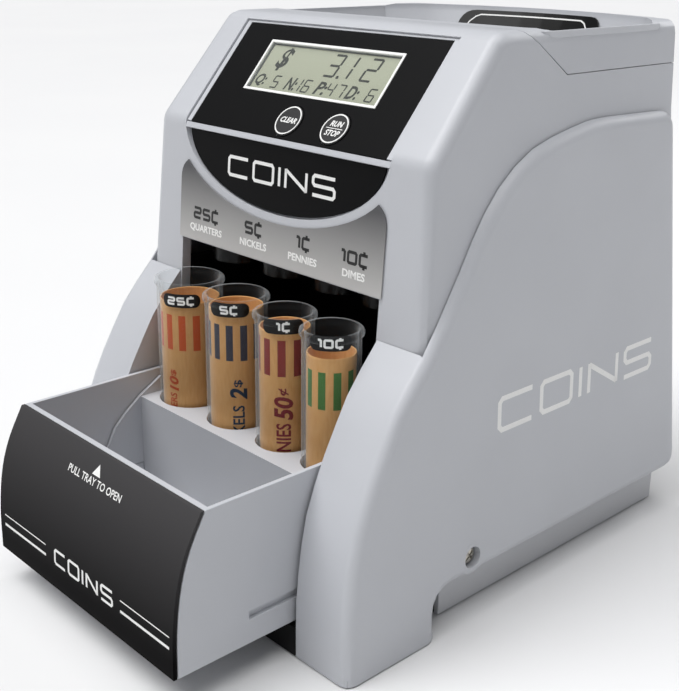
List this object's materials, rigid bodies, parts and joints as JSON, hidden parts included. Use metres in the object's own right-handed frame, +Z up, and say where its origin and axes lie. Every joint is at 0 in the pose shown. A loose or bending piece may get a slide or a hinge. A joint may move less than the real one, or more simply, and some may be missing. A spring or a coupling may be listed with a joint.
{
  "type": "coin sorting machine",
  "caption": "Tabletop coin sorting machine: hopper above a turning disc, sloped console with display and keys, clear coin tubes standing in a pull-out tray.",
  "frame": {"origin": "on the table plane under the middle of the whole machine, tray drawn out", "axes": "+Z up; the tray slides out along -Y, towards the user; +X is on the right seen from the front"},
  "size_m": [0.179, 0.2661, 0.219],
  "materials": {
    "housing_plastic": "satin",
    "tray_plastic": "satin",
    "skirt_plastic": "satin",
    "overlay_film": "satin",
    "black_plastic": "satin",
    "label_film": "satin",
    "white_print": "satin",
    "clear_plastic": "clear",
    "lcd_screen": "satin",
    "kraft_paper": "matte",
    "rubber": "matte",
    "screw_nickel": "polished",
    "steel": "brushed",
    "circuit_board": "satin"
  },
  "bodies": {
    "housing": {"right_pod": "housing_plastic", "left_pod": "housing_plastic", "front_housing": "housing_plastic", "back_cover": "housing_plastic", "hopper_shell": "housing_plastic", "hopper_floor": "housing_plastic", "right_skirt": "skirt_plastic", "left_skirt": "skirt_plastic", "console_overlay": "overlay_film", "lower_overlay": "overlay_film", "base_pan": "black_plastic", "base_plate": "black_plastic", "bay_liner": "black_plastic", "chute_block": "black_plastic", "coin_rail": "black_plastic", "coin_plate": "black_plastic", "dc_inlet": "black_plastic", "hopper_plate": "black_plastic", "tray_rail_right": "black_plastic", "tray_rail_left": "black_plastic", "denomination_label": "label_film", "lcd_bezel": "white_print", "lcd_window": "clear_plastic", "lcd_module": "lcd_screen", "foot_front_left": "rubber", "foot_front_right": "rubber", "foot_rear_left": "rubber", "foot_rear_right": "rubber", "clear_pad": "rubber", "run_pad": "rubber", "side_screw_left": "screw_nickel", "side_screw_right": "screw_nickel", "cover_screw_1": "screw_nickel", "cover_screw_2": "screw_nickel", "cover_screw_3": "screw_nickel", "cover_screw_4": "screw_nickel", "motor_bracket": "steel", "gear_motor": "steel", "console_board": "circuit_board", "main_board": "circuit_board", "sensor_board": "circuit_board"},
    "tray": {"coin_tray": "tray_plastic", "tray_front": "overlay_film", "tube_rack": "tray_plastic"},
    "quarter_holder": {"quarter_tube": "clear_plastic", "quarter_wrapper": "kraft_paper"},
    "nickel_holder": {"nickel_tube": "clear_plastic", "nickel_wrapper": "kraft_paper"},
    "penny_holder": {"penny_tube": "clear_plastic", "penny_wrapper": "kraft_paper"},
    "dime_holder": {"dime_tube": "clear_plastic", "dime_wrapper": "kraft_paper"},
    "clear_key": {"clear_button": "overlay_film"},
    "run_key": {"run_button": "overlay_film"},
    "disc": {"coin_disc": "black_plastic"}
  },
  "joints": [
    {"name": "tray_slide", "type": "slide", "parent": "housing", "child": "tray", "axis": [0, -1, 0], "range_m": [-0.051, 0]},
    {"name": "quarter_tube_lift", "type": "slide", "parent": "tray", "child": "quarter_holder", "axis": [0, 0, 1], "range_m": [0, 0.01]},
    {"name": "nickel_tube_lift", "type": "slide", "parent": "tray", "child": "nickel_holder", "axis": [0, 0, 1], "range_m": [0, 0.01]},
    {"name": "penny_tube_lift", "type": "slide", "parent": "tray", "child": "penny_holder", "axis": [0, 0, 1], "range_m": [0, 0.01]},
    {"name": "dime_tube_lift", "type": "slide", "parent": "tray", "child": "dime_holder", "axis": [0, 0, 1], "range_m": [0, 0.01]},
    {"name": "clear_press", "type": "slide", "parent": "housing", "child": "clear_key", "axis": [0, 0.7568, -0.6536], "range_m": [0, 0.001], "stiffness_N_per_m": 400},
    {"name": "run_press", "type": "slide", "parent": "housing", "child": "run_key", "axis": [0, 0.7568, -0.6536], "range_m": [0, 0.001], "stiffness_N_per_m": 400},
    {"name": "disc_spin", "type": "hinge", "parent": "housing", "child": "disc", "pos_m": [0, 0.06825, 0.166], "axis": [0, 0, 1], "continuous": true}
  ]
}
